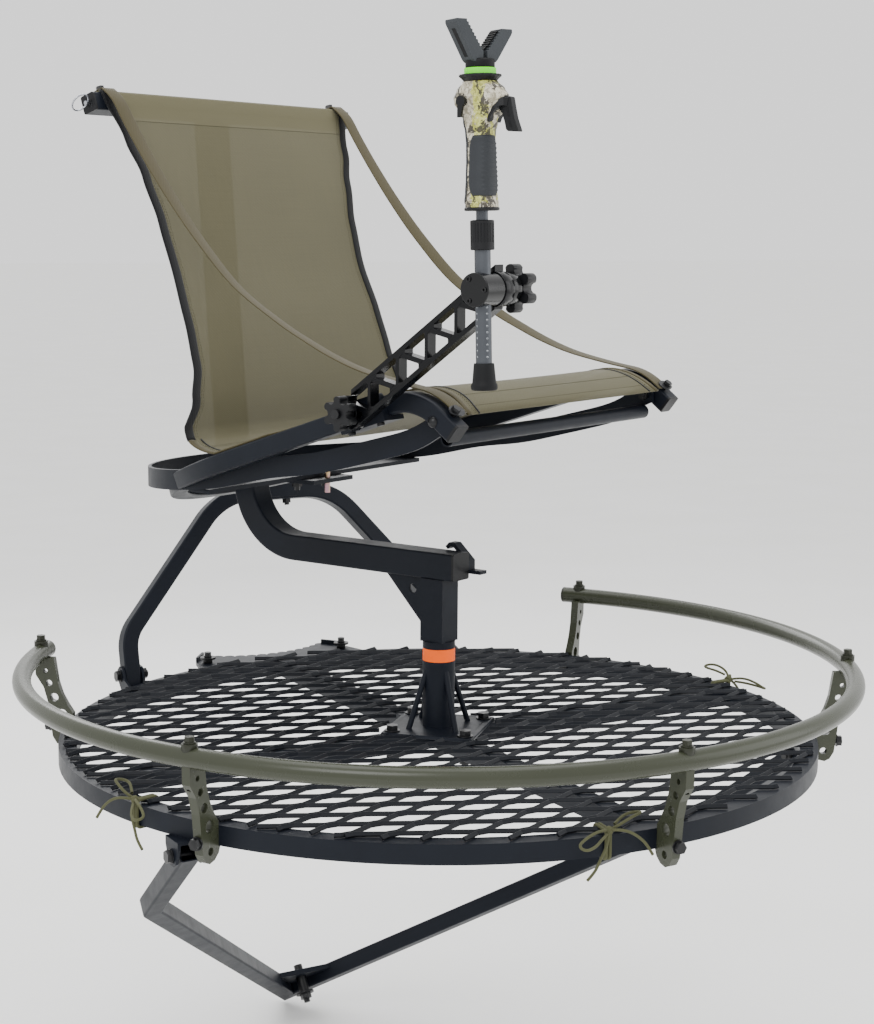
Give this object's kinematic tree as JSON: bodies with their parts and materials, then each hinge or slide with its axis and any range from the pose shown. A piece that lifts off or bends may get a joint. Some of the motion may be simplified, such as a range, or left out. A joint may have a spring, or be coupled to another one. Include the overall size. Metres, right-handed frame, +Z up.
{
  "type": "hang-on tree stand",
  "caption": "Round mesh tree-stand platform with a folding arch and brace, foot rail, swivelling sling seat with fold-forward back, and a gun-rest stick on a tilting arm.",
  "frame": {"origin": "where the notch of the platform's toothed blade bears on the tree, level with the platform's top face", "axes": "+Y towards the tree, +Z up, +X to the side on which the arch folds by the right-hand rule"},
  "size_m": [1.1854, 1.189, 1.5333],
  "materials": {
    "frame_powder_coat": "satin blue-black powder coat",
    "mesh_powder_coat": "satin powder coat over expanded steel",
    "black_hardware": "black oxide fasteners",
    "rail_olive": "glossy olive powder coat",
    "rail_hardware": "olive saddle washers and dark bolts",
    "orange_bushing": "moulded orange bearing plastic",
    "black_plastic": "moulded black plastic",
    "rail_cap_plastic": "moulded olive plastic",
    "knob_plastic": "moulded dark knob plastic",
    "khaki_mesh_fabric": "woven vinyl-coated mesh",
    "olive_webbing": "flat polyester webbing",
    "tie_cord": "olive braided cord",
    "zinc_wire": "yellow zinc plated steel",
    "ring_steel": "dark plated steel",
    "arm_gloss_black": "semi-gloss black over machined aluminium",
    "clamp_gloss_black": "glossy black anodised",
    "stick_grey": "grey anodised",
    "black_rubber": "moulded rubber",
    "camo_handle": "mottled woodland film over plastic",
    "lime_plastic": "bright lime plastic"
  },
  "bodies": {
    "platform": {"rim_ring": "frame_powder_coat", "spokes": "frame_powder_coat", "mesh_grille": "mesh_powder_coat", "hub_plate": "frame_powder_coat", "platform_bolts": "black_hardware", "swivel_post": "frame_powder_coat", "gusset_rods": "frame_powder_coat", "swivel_bushing": "orange_bushing", "foot_rail": "rail_olive", "rail_end_caps": "rail_cap_plastic", "rail_brackets": "rail_olive", "rail_bolts": "rail_hardware", "tree_blade": "frame_powder_coat", "strap_posts": "black_hardware", "arch_clevises": "frame_powder_coat", "brace_clevises": "frame_powder_coat", "rim_ties": "tie_cord"},
    "arch": {"arch_tube": "frame_powder_coat", "arch_strap_bracket": "frame_powder_coat", "arch_bolts": "black_hardware"},
    "brace": {"brace_tube": "frame_powder_coat", "apex_plate": "frame_powder_coat", "apex_strap_post": "black_hardware"},
    "seat": {"socket_tube": "frame_powder_coat", "arm_tube": "frame_powder_coat", "arm_gusset": "frame_powder_coat", "gear_hook": "frame_powder_coat", "seat_plates": "frame_powder_coat", "seat_tube": "frame_powder_coat", "seat_hoop": "frame_powder_coat", "seat_bolts": "black_hardware", "front_crossbar": "frame_powder_coat", "seat_end_caps": "black_plastic", "corner_bolts": "black_hardware", "seat_sling": "khaki_mesh_fabric", "hinge_ears": "frame_powder_coat", "rail_clamp": "frame_powder_coat"},
    "lock_pin": {"lock_pin": "zinc_wire"},
    "backrest": {"spine_tube": "frame_powder_coat", "top_bar": "frame_powder_coat", "bar_end_caps": "black_plastic", "back_sling": "khaki_mesh_fabric", "support_straps": "olive_webbing", "strap_bolts": "black_hardware"},
    "pull_pin": {"pull_pin": "ring_steel"},
    "rest_arm": {"truss_arm": "arm_gloss_black"},
    "arm_knob": {"arm_knob": "knob_plastic"},
    "clamp": {"clamp_head": "clamp_gloss_black", "clamp_cap_and_screws": "clamp_gloss_black"},
    "clamp_knob": {"clamp_knob": "knob_plastic"},
    "stick": {"stick_tube": "stick_grey", "stick_foot": "black_rubber"},
    "twist_collar": {"twist_collar": "black_plastic"},
    "grip": {"upper_tube": "stick_grey", "grip_body": "camo_handle", "grip_collar": "black_plastic", "lime_ring": "lime_plastic"},
    "yoke": {"yoke": "black_rubber"},
    "trigger": {"trigger": "black_plastic"},
    "lock_lever": {"lock_lever": "black_plastic"}
  },
  "joints": [
    {"name": "arch_fold", "type": "hinge", "parent": "platform", "child": "arch", "pos_m": [0, -0.0818, 0.01], "axis": [1, 0, 0], "range_deg": [0, 85]},
    {"name": "brace_fold", "type": "hinge", "parent": "platform", "child": "brace", "pos_m": [0, -0.78389, -0.04685], "axis": [1, 0, 0], "range_deg": [0, 35]},
    {"name": "seat_swivel", "type": "hinge", "parent": "platform", "child": "seat", "pos_m": [0, -0.563, 0.118], "axis": [0, 0, 1], "continuous": true},
    {"name": "lock_pin_lift", "type": "slide", "parent": "seat", "child": "lock_pin", "axis": [0, 0, 1], "range_m": [0, 0.012], "stiffness_N_per_m": 300},
    {"name": "backrest_fold", "type": "hinge", "parent": "seat", "child": "backrest", "pos_m": [-0.15781, -0.20854, 0.372], "axis": [0.9135, 0.4067, 0], "range_deg": [0, 60], "deforming": ["back_sling", "support_straps"]},
    {"name": "pull_pin_slide", "type": "slide", "parent": "backrest", "child": "pull_pin", "axis": [-0.9135, -0.4067, 0], "range_m": [0, 0.01], "stiffness_N_per_m": 300},
    {"name": "rest_arm_tilt", "type": "hinge", "parent": "seat", "child": "rest_arm", "pos_m": [-0.23736, -0.75516, 0.478], "axis": [-0.9135, -0.4067, 0], "range_deg": [-30, 40]},
    {"name": "arm_knob_turn", "type": "hinge", "parent": "seat", "child": "arm_knob", "pos_m": [-0.25929, -0.76492, 0.478], "axis": [-0.9135, -0.4067, 0], "continuous": true},
    {"name": "clamp_tilt", "type": "hinge", "parent": "rest_arm", "child": "clamp", "pos_m": [-0.17458, -0.96255, 0.636], "axis": [-0.9135, -0.4067, 0], "range_deg": [-60, 60]},
    {"name": "clamp_knob_turn", "type": "hinge", "parent": "clamp", "child": "clamp_knob", "pos_m": [-0.1152, -0.93611, 0.636], "axis": [-0.9135, -0.4067, 0], "continuous": true},
    {"name": "stick_slide", "type": "slide", "parent": "clamp", "child": "stick", "axis": [-0.0114, 0.0255, 0.9996], "range_m": [-0.02, 0.06]},
    {"name": "twist_lock", "type": "hinge", "parent": "stick", "child": "twist_collar", "pos_m": [-0.17526, -0.96102, 0.69598], "axis": [-0.0114, 0.0255, 0.9996], "range_deg": [0, 90]},
    {"name": "grip_extend", "type": "slide", "parent": "stick", "child": "grip", "axis": [-0.0114, 0.0255, 0.9996], "range_m": [0, 0.08]},
    {"name": "yoke_turn", "type": "hinge", "parent": "grip", "child": "yoke", "pos_m": [-0.17744, -0.95612, 0.8879], "axis": [-0.0114, 0.0255, 0.9996], "continuous": true},
    {"name": "trigger_pull", "type": "hinge", "parent": "grip", "child": "trigger", "pos_m": [-0.17008, -0.97267, 0.84839], "axis": [0.9135, 0.4067, 0], "range_deg": [0, 18], "stiffness_Nm_per_rad": 0.5},
    {"name": "lock_lever_turn", "type": "hinge", "parent": "grip", "child": "lock_lever", "pos_m": [-0.20402, -0.96036, 0.84969], "axis": [-0.9135, -0.4067, 0], "range_deg": [0, 90]}
  ]
}
